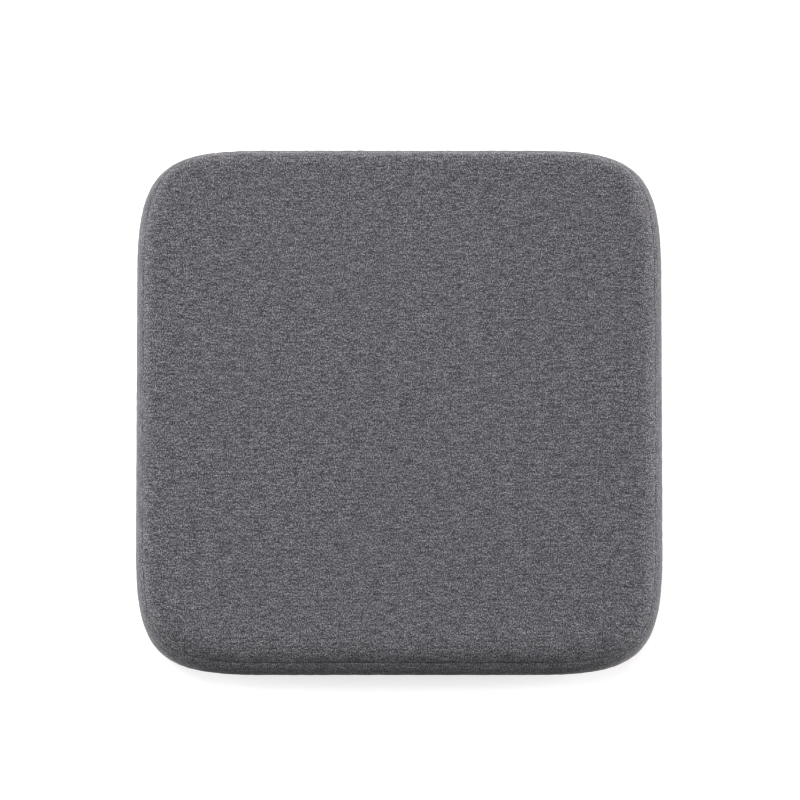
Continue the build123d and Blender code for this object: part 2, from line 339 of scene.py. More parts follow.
def open_cell_foam(name, colour, pit_shade):
    """Cut foam: open cells about 0.9 mm across show as pits, and the skin is quite matt. Its colour
    darkens where the bump sinks the surface, which is painted shade in the pits, mixed with random clouds
    of tone.
    """
    made, tree, shader = new_material(name)
    place = add_node(tree, "ShaderNodeTexCoord").outputs["Object"]
    cells = add_node(tree, "ShaderNodeTexVoronoi", {"Vector": place, "Scale": 1100.0})
    cloud = add_node(tree, "ShaderNodeTexNoise", {"Vector": place, "Scale": 60.0, "Detail": 4.0})
    # The cells' depth also darkens the colour toward the second ramp stop: painted shade in the pits.
    depth = add_node(tree, "ShaderNodeMath", {0: cells, 1: 0.55, 2: 0.1}, operation="MULTIPLY_ADD")
    tone = add_node(tree, "ShaderNodeMath", {0: cloud, 1: 0.35, 2: depth}, operation="MULTIPLY_ADD")
    ramp = add_node(tree, "ShaderNodeValToRGB", {"Fac": tone}, ((0.15, colour), (0.85, pit_shade)))
    bump = add_node(tree, "ShaderNodeBump", {"Height": cells, "Strength": 0.7, "Distance": -0.4 * mm})
    feed(tree, shader, {"Base Color": ramp, "Normal": bump})
    feed(tree, shader, {"Roughness": 0.95, "Specular IOR Level": 0.15})
    return made


foam_turns = np.arange(360) / 360
foam_shares = np.array([0.06, 0.3, 0.6, 0.85, 0.97])
side_paths = np.linspace(path_of_height(split_height), 3.0, 16)
sides = under_cover(foam_turns, side_paths, foam_side_gap, foam_face_gap)
sides[:, 0, 2] = split_height
lid = sides[:, :1] * foam_shares[None, :, None]
lid[..., 2] = split_height
underside = under_cover(foam_turns, np.linspace(3.05, 3.94, 9), foam_side_gap, foam_face_gap)
support = rings("support_block", np.concatenate([lid, sides, underside], 1), True, True)
round_edges(support, 1.0 * mm)
firm = open_cell_foam("cut_firm_polyurethane_foam", "#8f979f", "#5d646c")
support.data.materials.append(firm)
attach(support, "pad")
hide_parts("support_foam")


# ---- Comfort foam ----
# The upper block of slow-recovery foam, softer and paler, bonded on top of the support foam.
# Its upper edge is rounded, and its face rises a little in the middle.
glue_line = 0.05 * mm
side_paths = np.linspace(1.0, path_of_height(split_height + glue_line), 14)
face = under_cover(foam_turns, np.linspace(0.06, 0.95, 10), foam_side_gap, foam_face_gap)
sides = under_cover(foam_turns, side_paths, foam_side_gap, foam_face_gap)
sides[:, -1, 2] = split_height + glue_line
floor_ring = sides[:, -1:] * foam_shares[::-1][None, :, None]
floor_ring[..., 2] = split_height + glue_line
comfort = rings("comfort_block", np.concatenate([face, sides, floor_ring], 1), True, True)
round_edges(comfort, 1.0 * mm)
soft = open_cell_foam("cut_slow_recovery_foam", "#e6dfcd", "#b9ad92")
comfort.data.materials.append(soft)
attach(comfort, "pad")
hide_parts("comfort_foam")


# ---- Liner ----
# A thin white tricot sleeve, cut as an upper and a lower half. It lets the cover slide on
# over the foam, and a line of overlock stitches joins its halves round the edge.
liner_cloth = 0.6 * mm
liner_side_gap, liner_face_gap = 6.0 * mm, 2.0 * mm
liner_seam_width = 2.8 * mm


def thicken(piece, thickness):
    """Gives a cloth panel its thickness, inwards from its face."""
    shell = piece.modifiers.new("thickness", "SOLIDIFY")
    shell.thickness = thickness
    shell.offset = -1
    shell.use_quality_normals = True


def tricot():
    """Fine warp-knit polyester: upright ribs 1.1 mm apart, drawn coarser than real to show."""
    made, tree, shader = new_material("warp_knit_polyester_tricot")
    place = add_node(tree, "ShaderNodeTexCoord").outputs["Object"]
    ribs = {"Vector": place, "Scale": 900 / math.tau, "Distortion": 1.5}
    ribs = add_node(tree, "ShaderNodeTexWave", ribs).outputs["Fac"]
    ramp = add_node(tree, "ShaderNodeValToRGB", {"Fac": ribs}, ((0, "#d3d3d0"), (1, "#ecebe6")))
    bump = add_node(tree, "ShaderNodeBump", {"Height": ribs, "Strength": 0.4, "Distance": 0.15 * mm})
    feed(tree, shader, {"Base Color": ramp, "Normal": bump})
    feed(tree, shader, {"Roughness": 0.75, "Sheen Weight": 0.3})
    return made


liner_material = tricot()
upper_end = path_of_height(middle_height + liner_seam_width / 2)
lower_end = path_of_height(middle_height - liner_seam_width / 2)
upper_paths = np.append(np.linspace(0.05, 1, 12, endpoint=False), np.linspace(1, upper_end, 16))
lower_paths = np.append(np.linspace(lower_end, 3, 14, endpoint=False), np.linspace(3, 3.95, 10))
for half_name, node, half_paths, top_half in (
    ("liner_top_half", "liner_top_panel", upper_paths, True),
    ("liner_base_half", "liner_base_panel", lower_paths, False),
):
    points = under_cover(foam_turns, half_paths, liner_side_gap, liner_face_gap)
    half = rings(half_name, points, top_half, not top_half)
    thicken(half, liner_cloth)
    half.data.materials.append(liner_material)
    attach(half, "pad")
    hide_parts(node)


def tube(path, across, radius, sides, closed):
    """Points and faces of a round thread along a path: circles square to it, turned so that
    their first axis is square to a given direction. Open ends are closed with flat caps."""
    if closed:
        along = np.roll(path, -1, 0) - np.roll(path, 1, 0)
    else:
        along = np.gradient(path, axis=0)
    along /= np.linalg.norm(along, axis=1, keepdims=True)
    side = np.cross(across, along)
    side /= np.linalg.norm(side, axis=1, keepdims=True)
    up = np.cross(along, side)
    angle = np.arange(sides) * 2 * math.pi / sides
    circle = np.cos(angle)[None, :, None] * side[:, None] + np.sin(angle)[None, :, None] * up[:, None]
    radius = np.broadcast_to(radius, len(path))[:, None, None]
    points = path[:, None] + radius * circle
    faces = [grid_faces(len(path), sides, closed, True)]
    if not closed:
        ring = np.arange(sides)
        faces.append(np.stack([ring[::-1], ring + (len(path) - 1) * sides]))
    return points.reshape(-1, 3), faces


def seam_thread(name, path_value, depth, reach, drop, pitch, radius, samples=9):
    """An overlock thread: a flattened helix along a seam, a whole number of turns round the
    pad. It swings from a depth under the seam, in by reach, and down by drop."""
    count = int(edge_length / pitch)
    total = count * samples
    turn = np.arange(total) / total
    phase = turn * count * 2 * math.pi
    points = plain_cover(turn[:, None], np.array([[path_value - 0.01, path_value, path_value + 0.01]]))
    inside = -outward(points, True)[:, 1]
    down = points[:, 2] - points[:, 0]
    down /= np.linalg.norm(down, axis=1, keepdims=True)
    into = depth + reach * (1 - np.cos(phase)) / 2
    line = points[:, 1] + inside * into[:, None]
    line += down * (drop * (1 - np.cos(phase + 0.7)) / 2)[:, None]
    around = np.roll(points[:, 1], -1, 0) - np.roll(points[:, 1], 1, 0)
    vertices, faces = tube(line, around, radius, 6, True)
    return mesh_from(name, vertices, *faces)


def spun_thread(name, colour, dark):
    """Twisted polyester thread: its plies show as slanted bands 0.6 mm long."""
    made, tree, shader = new_material(name)
    place = add_node(tree, "ShaderNodeTexCoord").outputs["Object"]
    plies = {"Vector": place, "Scale": 320.0}
    plies = add_node(tree, "ShaderNodeTexWave", plies, bands_direction="DIAGONAL").outputs["Fac"]
    ramp = add_node(tree, "ShaderNodeValToRGB", {"Fac": plies}, ((0, dark), (1, colour)))
    bump = add_node(tree, "ShaderNodeBump", {"Height": plies, "Strength": 0.5, "Distance": 0.1 * mm})
    feed(tree, shader, {"Base Color": ramp, "Normal": bump})
    feed(tree, shader, {"Roughness": 0.6, "Sheen Weight": 0.3})
    return made


stitch_depth = liner_side_gap - 0.3 * mm
liner_stitches = seam_thread(
    "liner_overlock", upper_end, stitch_depth, 0.8 * mm, liner_seam_width, 4.0 * mm, 0.2 * mm
)
white_thread = spun_thread("white_spun_polyester_thread", "#efeee9", "#cfcdc6")
liner_stitches.data.materials.append(white_thread)
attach(liner_stitches, "pad")
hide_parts("liner_seam_thread")


# ---- Cover: cloth creased by its seams ----
# The cover's cloth is sewn a little slack and the foam fills it, so it puckers along both
# long seams. A cloth simulation of a strip round the edge, blown up by pressure, gives this.
top_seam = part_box("side_band")[1][2]
base_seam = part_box("side_band")[0][2]
seam_paths = (path_of_height(top_seam), path_of_height(base_seam))
crease_turns = 400
widest_crease = 9  # how many of the widest crease would fit round the pad
crease_cap = 2.2 * mm
crease_frames = 24  # by then the cloth has settled
crease_stops = (0.72, 1.0, seam_paths[0], 2.0, seam_paths[1], 3.0, 3.28)
crease_rows = (10, 7, 4, 4, 3, 3)
spans = zip(crease_stops, crease_stops[1:], crease_rows)
crease_path = np.concatenate([np.linspace(a, b, n, endpoint=False) for a, b, n in spans])
crease_path = np.append(crease_path, crease_stops[-1])
shape = (crease_turns, len(crease_path))


def simulated_creases():
    """How far each point of the strip moves from the plain cover once the cloth has settled,
    without the even swelling of the whole strip."""
    turn = np.arange(crease_turns)[:, None] / crease_turns
    rest = plain_cover(turn, crease_path[None, :])
    dice = np.random.default_rng(11)
    start = rest + dice.normal(0, 0.08 * mm, rest.shape)
    strip = mesh_from("crease_strip", start.reshape(-1, 3), grid_faces(*shape, round_rows=True))
    rows = np.broadcast_to(np.arange(shape[1]), shape)
    seam_rows = [int(np.argmin(np.abs(crease_path - s))) for s in seam_paths]
    beside_zip = zip_stiffness(np.broadcast_to(turn, shape)) * (crease_path > seam_paths[0] - 0.1)
    held = np.isin(rows, [0, 1, shape[1] - 2, shape[1] - 1, *seam_rows])
    hold = np.maximum(held.astype(float), beside_zip).ravel()
    spare = np.exp(-(((crease_path - seam_paths[0]) / 0.32) ** 2))
    spare = spare + 0.7 * np.exp(-(((crease_path - seam_paths[1]) / 0.3) ** 2))
    patchy = 0.55 + 0.45 * np.sin(2 * math.pi * (5 * turn + 0.3 * np.sin(14 * math.pi * turn)))
    spare = (np.clip(spare[None, :], 0, 1) * patchy).ravel()
    for group_name, weights in (("held", hold), ("spare", spare)):
        group = strip.vertex_groups.new(name=group_name)
        for step in range(21):
            chosen = np.flatnonzero(np.round(weights * 20) == step)
            group.add(chosen.tolist(), step / 20, "REPLACE")
    cloth = strip.modifiers.new("cloth", "CLOTH")
    settings = cloth.settings
    settings.quality = 6
    settings.mass = 0.2
    settings.tension_stiffness = settings.compression_stiffness = 20
    settings.shear_stiffness = 8
    settings.bending_stiffness = 0.35
    settings.vertex_group_mass = "held"
    settings.pin_stiffness = 2
    settings.vertex_group_shrink = "spare"
    settings.shrink_min = 0.0
    settings.shrink_max = -0.07
    settings.use_pressure = True
    settings.uniform_pressure_force = 4.0
    settings.effector_weights.gravity = 0
    cloth.collision_settings.use_collision = False
    cloth.point_cache.frame_end = crease_frames
    for number in range(1, crease_frames + 1):
        scene.frame_set(number)
    settled = strip.evaluated_get(bpy.context.evaluated_depsgraph_get())
    moved = np.empty(rest.size, np.float32)
    settled.data.vertices.foreach_get("co", moved)
    moved = moved.reshape(rest.shape) - rest
    scene.frame_set(1)
    bpy.data.objects.remove(strip)
    face = outward(rest, True)
    waves = np.fft.rfft((moved * face).sum(-1), axis=0)
    waves[widest_crease:] = 0  # what is left is the even swelling, which the foam wouldn't allow
    swelling = np.fft.irfft(waves, crease_turns, axis=0) * (1 - beside_zip)
    moved -= face * swelling[..., None]
    reach = np.linalg.norm(moved, axis=-1, keepdims=True) + 1e-12
    return moved / reach * crease_cap * np.tanh(reach / crease_cap)


creases = simulated_creases()


def cubic(values, place, axis, wrap):
    """Catmull-Rom interpolation along one axis at places counted in samples."""
    count = values.shape[axis]
    low = np.floor(place).astype(int)
    t = place - low
    weights = (
        (-t + 2 * t**2 - t**3) / 2,
        (2 - 5 * t**2 + 3 * t**3) / 2,
        (t + 4 * t**2 - 3 * t**3) / 2,
        (-(t**2) + t**3) / 2,
    )
    total = 0
    for k, weight in enumerate(weights):
        index = low + k - 1
        index = index % count if wrap else np.clip(index, 0, count - 1)
        spread = [1] * values.ndim
        spread[axis] = len(place)
        total = total + np.take(values, index, axis) * weight.reshape(spread)
    return total


def unevenness(x, y):
    """Faint hollows of a used foam: six long waves with fixed directions and phases."""
    waves = ((34, 10, 0.9), (-18, 28, 5.7), (46, -24, 12.3))
    waves += ((10, 62, 6.6), (-58, -14, 15.9), (24, 42, 2.7))
    return sum(np.sin(a * x + b * y + c) for a, b, c in waves) * 0.07 * mm


pull_depth, pull_width = 1.1 * mm, 4.5 * mm  # how far a seam draws the cloth in, and how near


def seam_strain(turns):
    """How hard the seams pull, as a column: full at the front and rear, a quarter at the sides."""
    return 0.25 + 0.75 * np.cos(turns[:, None] * 2 * math.pi) ** 2


def seam_pull(turns, paths):
    """How far the seams draw the cloth in: a bell curve across each seam, whose depth swells
    and fades along it, and which is slight beside the zip."""
    around = turns[:, None] * 2 * math.pi
    swell = 1 + 0.3 * np.sin(around * 19 + 2 * np.sin(around * 5)) + 0.2 * np.sin(around * 43 + 1)
    total = 0
    for path in seam_paths:
        probe = plain_cover(turns[:, None], np.array([[path, path + 0.01]]))
        speed = np.linalg.norm(probe[:, 1] - probe[:, 0], axis=-1)[:, None] / 0.01
        away = (paths[None, :] - path) * speed
        total = total + np.exp(-((away / pull_width) ** 2))
    slack = seam_strain(turns) * (1 - 0.75 * zip_stiffness(turns))[:, None]
    return pull_depth * total * swell * slack


def cover(turns, paths):
    """Points of the creased cover on a grid: the plain cover, its unevenness, its creases.
    Its underside rests on the floor through the dots, so no crease hangs below it."""
    points = plain_cover(turns[:, None], paths[None, :])
    points -= outward(points, np.ptp(turns) > 0.99) * seam_pull(turns, paths)[..., None]
    on_top = smooth(2 * (1 - np.abs(paths - 0.6) / 0.9)) * (paths < 1.5)
    points[..., 2] += unevenness(points[..., 0], points[..., 1]) * on_top
    row = np.interp(paths, crease_path, np.arange(len(crease_path)))
    part = cubic(creases, np.mod(turns, 1) * crease_turns, 0, True)
    part = cubic(part, row, 1, False)
    known = (paths >= crease_path[0]) & (paths <= crease_path[-1])
    points = points + part * known[None, :, None]
    points[..., 2] = np.maximum(points[..., 2], base_height - 0.1 * mm)
    return points


def turned_in(distance, radius):
    """How far a cloth edge dips where it turns into a seam: a quarter circle of that radius."""
    near = np.clip(1 - distance / radius, 0, 1)
    return radius * (1 - np.sqrt(1 - near**2))


def edge_steps(radius):
    """Distances from a seam that draw its quarter circle evenly, from the seam outwards."""
    return radius * (1 - np.cos(np.linspace(0, math.pi / 2, 6)))


seam_turn = 1.2 * mm  # radius at which cloth turns into a seam
cover_cloth = 1.2 * mm


def beside_seam(path, sign):
    """Path values at the seam's edge steps on one side of it, and metres per unit of path."""
    probe = plain_cover(np.array([[0.1]]), np.array([[path, path + 0.01]]))
    speed = np.linalg.norm(probe[0, 1] - probe[0, 0]) / 0.01
    return path + sign * edge_steps(seam_turn) / speed, speed


def sewn_edge(points, turns, paths, path, speed):
    """Turns the cloth in towards a seam at a path value, to a depth that varies a little."""
    dip = turned_in(np.abs(paths - path)[None, :] * speed, seam_turn)
    around = turns[:, None] * 2 * math.pi
    vary = seam_strain(turns) * (1 + 0.22 * np.sin(around * 61) * np.sin(around * 17))
    return points - outward(points, np.ptp(turns) > 0.99) * (dip * vary)[..., None]


def lay_uv(piece, uv):
    """Gives each face corner its vertex's place on the flat cloth, in metres."""
    corner = np.empty(len(piece.data.loops), np.int32)
    piece.data.loops.foreach_get("vertex_index", corner)
    layer = piece.data.uv_layers.new(name="cloth")
    layer.data.foreach_set("uv", uv.reshape(-1, 2)[corner].astype(np.float32).ravel())


def along_path(points):
    """Distance along each grid column's path, from its first point."""
    steps = np.linalg.norm(np.diff(points, axis=1), axis=-1)
    return np.concatenate([np.zeros((len(points), 1)), np.cumsum(steps, 1)], 1)


def panel_uv(points, turns, flat_row, pole_last):
    """Flat cloth of a panel with a pole: its own X and Y inside a ring, and past the ring the
    ring's place plus the distance along the path, straight out from the edge."""
    run = along_path(points)
    out = edge_at(turns)[1][:, None]
    beyond = np.abs(run - run[:, flat_row : flat_row + 1])[..., None]
    far = points[:, flat_row : flat_row + 1, :2] + out * beyond
    rows = np.arange(points.shape[1])[None, :, None]
    past = rows < flat_row if pole_last else rows > flat_row
    uv = np.where(past, far, points[..., :2])
    return np.concatenate([uv.reshape(-1, 2), [[0, 0]]])


# ---- Cover base panel ----
# A tough plain-woven polyester square that turns up under the edge to the lower seam, and
# carries the grip dots.
def woven_base():
    """Plain weave: two sets of threads 1.2 mm wide, drawn coarser than real so that the
    weave shows. Each thread is high where it crosses over the other set."""
    made, tree, shader = new_material("plain_woven_polyester_oxford")
    flat = add_node(tree, "ShaderNodeUVMap", uv_map="cloth").outputs["UV"]
    split = add_node(tree, "ShaderNodeSeparateXYZ", {"Vector": flat})
    radians = math.pi / (1.2 * mm)
    waves = {}
    for k, axis in enumerate("XY"):
        angle = {0: split.outputs[axis], 1: radians}
        angle = add_node(tree, "ShaderNodeMath", angle, operation="MULTIPLY")
        waves[k] = add_node(tree, "ShaderNodeMath", {0: angle}, operation="SINE")
    crossing = add_node(tree, "ShaderNodeMath", waves, operation="MULTIPLY")
    fibres = add_node(tree, "ShaderNodeTexNoise", {"Vector": flat, "Scale": 900.0, "Detail": 2.0})
    tone = add_node(tree, "ShaderNodeMath", {0: crossing, 1: 0.28, 2: fibres}, operation="MULTIPLY_ADD")
    ramp = add_node(tree, "ShaderNodeValToRGB", {"Fac": tone}, ((0.2, "#2b2b2f"), (0.85, "#5a5a60")))
    bump = add_node(tree, "ShaderNodeBump", {"Height": crossing, "Strength": 0.5, "Distance": 0.25 * mm})
    feed(tree, shader, {"Base Color": ramp, "Normal": bump})
    feed(tree, shader, {"Roughness": 0.7, "Sheen Weight": 0.15})
    return made


panel_turns = np.arange(640) / 640
seam_rows, seam_speed = beside_seam(seam_paths[1], 1)
paths = np.concatenate(
    [
        seam_rows,
        np.linspace(seam_rows[-1], 3.0, 12)[1:-1],
        np.linspace(3.0, 3.28, 7, endpoint=False),
        np.linspace(3.28, 3.96, 12),
    ]
)
points = sewn_edge(cover(panel_turns, paths), panel_turns, paths, seam_paths[1], seam_speed)
base_panel = rings("base_cloth", points, False, True)
lay_uv(base_panel, panel_uv(points, panel_turns, int(np.argmin(np.abs(paths - 3.0))), True))
thicken(base_panel, cover_cloth)
base_panel.data.materials.append(woven_base())
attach(base_panel, "pad")
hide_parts("cover_base_panel")


# ---- Grip dots ----
# Low domes of soft synthetic rubber, moulded onto the underside in staggered rows so that
# the pad doesn't slide on a wet floor.
dot_radius = 2.5 * mm
dot_pitch = 20 * mm
dot_field = 182 * mm
dot_row = np.arange(-9, 10)
dot_column = np.arange(-10, 10)
grid_x = (dot_column[:, None] + dot_row[None, :] % 2 / 2) * dot_pitch
grid_y = np.broadcast_to(dot_row[None, :] * dot_pitch, grid_x.shape)
inside = (grid_x / dot_field) ** 4 + (grid_y / dot_field) ** 4 <= 1
dot_centres = np.stack([grid_x[inside], grid_y[inside], np.zeros(inside.sum())], 1)


def many(places, points, faces):
    """Copies of a shape at many places, as one set of points and faces."""
    copies = places[:, None] + points[None]
    steps = np.arange(len(places))[:, None, None] * len(points)
    return copies.reshape(-1, 3), [(part[None] + steps).reshape(-1, part.shape[1]) for part in faces]


def dome():
    """One dot: circles that shrink and drop from the cloth to a rounded flat foot."""
    radii = np.array([1.0, 0.99, 0.93, 0.8, 0.55]) * dot_radius
    heights = np.array([1.0, 0.55, 0.22, 0.05, 0.0]) * (base_height + 0.15 * mm)
    angle = np.arange(14) * 2 * math.pi / 14
    circle = np.stack([np.cos(angle), np.sin(angle), np.zeros(14)], 1)
    points = circle[:, None] * radii[None, :, None]
    points[..., 2] = heights
    caps = np.stack([np.arange(14) * 5, np.arange(14)[::-1] * 5 + 4])
    return points.reshape(-1, 3), [grid_faces(14, 5, round_rows=True), caps]


def moulded_rubber():
    """Thermoplastic rubber: near black, satin, with a faint orange-peel skin."""
    made, tree, shader = new_material("moulded_thermoplastic_rubber")
    place = add_node(tree, "ShaderNodeTexCoord").outputs["Object"]
    skin = add_node(tree, "ShaderNodeTexNoise", {"Vector": place, "Scale": 1500.0, "Detail": 3.0})
    ramp = add_node(tree, "ShaderNodeValToRGB", {"Fac": skin}, ((0, "#1d1d20"), (1, "#323236")))
    satin = add_node(tree, "ShaderNodeMath", {0: skin, 1: 0.3, 2: 0.4}, operation="MULTIPLY_ADD")
    bump = add_node(tree, "ShaderNodeBump", {"Height": skin, "Strength": 0.3, "Distance": 0.1 * mm})
    feed(tree, shader, {"Base Color": ramp, "Roughness": satin, "Normal": bump})
    feed(tree, shader, {"IOR": 1.5})
    return made


dot_points, dot_faces = many(dot_centres, *dome())
dots = mesh_from("rubber_dots", dot_points, *dot_faces)
dots.data.materials.append(moulded_rubber())
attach(dots, "pad")
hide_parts("grip_dots")


# ---- Care label ----
# A blank strip of white satin ribbon between the underside and the liner. It lies almost
# flat, with a slight wave.
label_low, label_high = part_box("care_label")


def satin_ribbon():
    """Woven satin: glossy, with fine threads along its length 0.5 mm apart."""
    made, tree, shader = new_material("white_satin_ribbon")
    place = add_node(tree, "ShaderNodeTexCoord").outputs["Object"]
    threads = add_node(tree, "ShaderNodeTexWave", {"Vector": place, "Scale": 640.0}).outputs["Fac"]
    ramp = add_node(tree, "ShaderNodeValToRGB", {"Fac": threads}, ((0, "#dcdbd6"), (1, "#f1f0ec")))
    feed(tree, shader, {"Base Color": ramp})
    feed(tree, shader, {"Roughness": 0.35, "Anisotropic": 0.4})
    return made


across = np.linspace(label_low[0], label_high[0], 31)[:, None]
along = np.linspace(label_low[1], label_high[1], 46)[None, :]
wave = 0.04 * mm * np.sin(across * 260) * np.cos(along * 190)
label_height = label_high[2] - 0.05 * mm + wave
label_points = np.stack(np.broadcast_arrays(across, along, label_height), -1)
label = mesh_from("blank_label", label_points.reshape(-1, 3), grid_faces(31, 46)[:, ::-1])
thicken(label, 0.2 * mm)
label.data.materials.append(satin_ribbon())
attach(label, "pad")
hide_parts("care_label")


# ---- Side band ----
# A strip of brushed heather knit round the front and both sides, between the two long seams.
# Dark, mid and light fibres are spun together, and a short nap hides the loops.
def heather_knit():
    """Loops and fibres on the flat cloth. Loops are V shapes 1.5 mm wide and 1.1 mm high;
    fibres are noise about 1 mm across, with fainter streaks 3 and 12 mm long along the rows
    and faint clouds 6 to 10 mm across."""
    made, tree, shader = new_material("brushed_heather_knit")
    flat = add_node(tree, "ShaderNodeUVMap", uv_map="cloth").outputs["UV"]
    size = add_node(tree, "ShaderNodeMapping", {"Vector": flat, "Scale": (1000, 1000, 1000)})
    size = size.outputs["Vector"]
    fleck = 0.5
    grains = []
    for stretch, detail, roughness, strength in (
        ((1.15, 0.95, 1), 2.0, 0.75, 2.3),
        ((0.3, 0.75, 1), 1.0, 0.6, 0.6),
        ((0.08, 0.42, 1), 1.0, 0.6, 0.34),
        ((0.1, 0.17, 1), 2.0, 0.6, 0.17),
    ):
        place = add_node(tree, "ShaderNodeMapping", {"Vector": size, "Scale": stretch})
        grain = {"Vector": place, "Scale": 1.0, "Detail": detail, "Roughness": roughness}
        grain = add_node(tree, "ShaderNodeTexNoise", grain, noise_dimensions="2D")
        grains.append(grain)
        swing = add_node(tree, "ShaderNodeMath", {0: grain, 1: 0.5}, operation="SUBTRACT")
        fleck = {0: swing, 1: strength, 2: fleck}
        fleck = add_node(tree, "ShaderNodeMath", fleck, operation="MULTIPLY_ADD")
    split = add_node(tree, "ShaderNodeSeparateXYZ", {"Vector": size})
    parts = {"across": split.outputs["X"], "down": split.outputs["Y"]}
    parts.update(grain=grains[0], fleck=fleck)
    # Each line: a part of the loops, the sum that gives it, and what goes into the sum.
    for part, operation, *values in (
        ("wales", "MULTIPLY", "across", 1 / 1.5),
        ("wale", "FRACT", "wales"),
        ("off_middle", "SUBTRACT", "wale", 0.5),
        ("lean", "ABSOLUTE", "off_middle"),
        ("stray", "MULTIPLY", "grain", 0.35),
        ("slant", "MULTIPLY_ADD", "lean", 1.3, "stray"),
        ("courses", "MULTIPLY_ADD", "down", 1 / 1.1, "slant"),
        ("course_angle", "MULTIPLY", "courses", 2 * math.pi),
        ("rows", "SINE", "course_angle"),
        ("lean_angle", "MULTIPLY", "lean", 4 * math.pi),
        ("columns", "COSINE", "lean_angle"),
        ("loops", "MULTIPLY_ADD", "columns", -0.35, "rows"),
        ("nap", "MULTIPLY", "grain", 0.9),
        ("height", "MULTIPLY_ADD", "loops", 0.2, "nap"),
        ("tone", "MULTIPLY_ADD", "loops", 0.06, "fleck"),
    ):
        inputs = {k: parts.get(value, value) for k, value in enumerate(values)}
        parts[part] = add_node(tree, "ShaderNodeMath", inputs, operation=operation)
    stops = ((0.12, "#19191c"), (0.38, "#383639"), (0.52, "#48474c"), (0.68, "#5c5c64"), (0.92, "#898787"))
    ramp = add_node(tree, "ShaderNodeValToRGB", {"Fac": parts["tone"]}, stops)
    relief = {"Height": parts["height"], "Strength": 0.55, "Distance": 0.4 * mm}
    bump = add_node(tree, "ShaderNodeBump", relief)
    feed(tree, shader, {"Base Color": ramp, "Normal": bump})
    feed(tree, shader, {"Roughness": 0.95, "Specular IOR Level": 0.2, "Sheen Weight": 0.45})
    feed(tree, shader, {"Sheen Roughness": 0.45, "Sheen Tint": srgb("#e0dfe1")})
    return made


knit = heather_knit()


def finish_knit(piece, uv, node, thickness):
    lay_uv(piece, uv)
    thicken(piece, thickness)
    piece.data.materials.append(knit)
    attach(piece, "pad")
    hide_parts(node)


def sheet(name, points):
    """A mesh of an open grid of points."""
    return mesh_from(name, points.reshape(-1, 3), grid_faces(*points.shape[:2]))


def strip_uv(points, turns):
    """Flat cloth of a strip: distance round the edge, and distance down from its top."""
    run = along_path(points)
    return np.stack([np.broadcast_to((turns * edge_length)[:, None], run.shape), -run], -1)


def sewn_turns(start, stop, count):
    """Shares of the way round from one sewn end to another, closer together at both ends."""
    steps = edge_steps(seam_turn) / edge_length
    between = np.linspace(start + steps[-1], stop - steps[-1], count)[1:-1]
    return np.concatenate([start + steps, between, (stop - steps)[::-1]])


zip_panel_half = 140 * mm
band_end = 0.5 - zip_panel_half / edge_length
band_turns = sewn_turns(-band_end, band_end, 620)
upper_rows, upper_speed = beside_seam(seam_paths[0], 1)
lower_rows, lower_speed = beside_seam(seam_paths[1], -1)
paths = np.concatenate(
    [upper_rows, np.linspace(upper_rows[-1], lower_rows[-1], 16)[1:-1], lower_rows[::-1]]
)
points = cover(band_turns, paths)
points = sewn_edge(points, band_turns, paths, seam_paths[0], upper_speed)
points = sewn_edge(points, band_turns, paths, seam_paths[1], lower_speed)
from_end = (band_end - np.abs(band_turns)) * edge_length
points -= outward(points, False) * turned_in(from_end, seam_turn)[:, None, None]
band = sheet("side_band_cloth", points)
finish_knit(band, strip_uv(points, band_turns), "side_band", cover_cloth)


# ---- Zip strips and end patches ----
# Two strips of the knit across the rear, above and below the zip. Each has its zip edge
# folded under, and the tape is stitched to the fold. A patch closes the gap at each end.
hem_layer = 0.9 * mm  # each layer of the fold, pressed thin by the stitching
hem_round = 0.95 * mm  # radius of the fold
fold_edge = 6.0 * mm  # from the zip's middle line to the fold
hem_end = 9.6 * mm  # from the middle line to the cut edge inside
stitch_row = 7.6 * mm
stitch_pitch = 3.2 * mm
recess = 2.0 * mm  # how far in the folds and patches lie, so the slider is level with the wall
panel_share = zip_panel_half / edge_length
strip_turns = sewn_turns(0.5 - panel_share, 0.5 + panel_share, 700)
from_end = (panel_share - np.abs(strip_turns - 0.5)) * edge_length


def recessed(x, height):
    """How far in the zip panel's face lies: the recess near the zip's middle line, easing out
    to nothing 10.4 mm above and below it and towards the panel's ends."""
    beside = np.abs(height - middle_height)
    return recess * smooth((10.4 * mm - beside) / (2 * mm)) * smooth((138 * mm - np.abs(x)) / (9 * mm))


def folded_strip(above):
    """Grid of a strip: from its long seam to the fold, round the fold's half circle, and back
    inside to the cut edge. Stitches press small dimples along it."""
    sign = 1 if above else -1
    seam = seam_paths[0] if above else seam_paths[1]
    rows, speed = beside_seam(seam, sign)
    fold = path_of_height(middle_height + sign * (fold_edge + hem_round))
    fan = np.linspace(rows[-1], fold, 26)[1:]
    paths = np.concatenate([rows, fan])
    face = sewn_edge(cover(strip_turns, paths), strip_turns, paths, seam, speed)
    _, out = edge_at(strip_turns)
    inward = -np.concatenate([out, np.zeros((len(out), 1))], 1)[:, None]
    down = np.array([0, 0, -sign])
    face += recessed(face[..., 0], face[..., 2])[..., None] * inward
    angle = np.linspace(0, math.pi, 9)[1:][None, :, None]
    last = face[:, -1:]
    turn = last + hem_round * ((1 - np.cos(angle)) * inward + np.sin(angle) * down)
    up = np.linspace(0, hem_end - fold_edge - hem_round, 5)[1:][None, :, None]
    back = turn[:, -1:] - up * down
    points = np.concatenate([face, turn, back], 1)
    beside = np.abs(np.abs(points[..., 2] - middle_height) - stitch_row)
    beat = 0.6 - 0.4 * np.cos(2 * math.pi * points[..., 0] / stitch_pitch)
    dimple = 0.22 * mm * np.exp(-((beside / (0.8 * mm)) ** 2)) * beat
    dimple[:, face.shape[1] :] = 0
    points += dimple[..., None] * inward
    points += turned_in(from_end, seam_turn)[:, None, None] * inward
    if not above:
        points = points[:, ::-1]
    return points


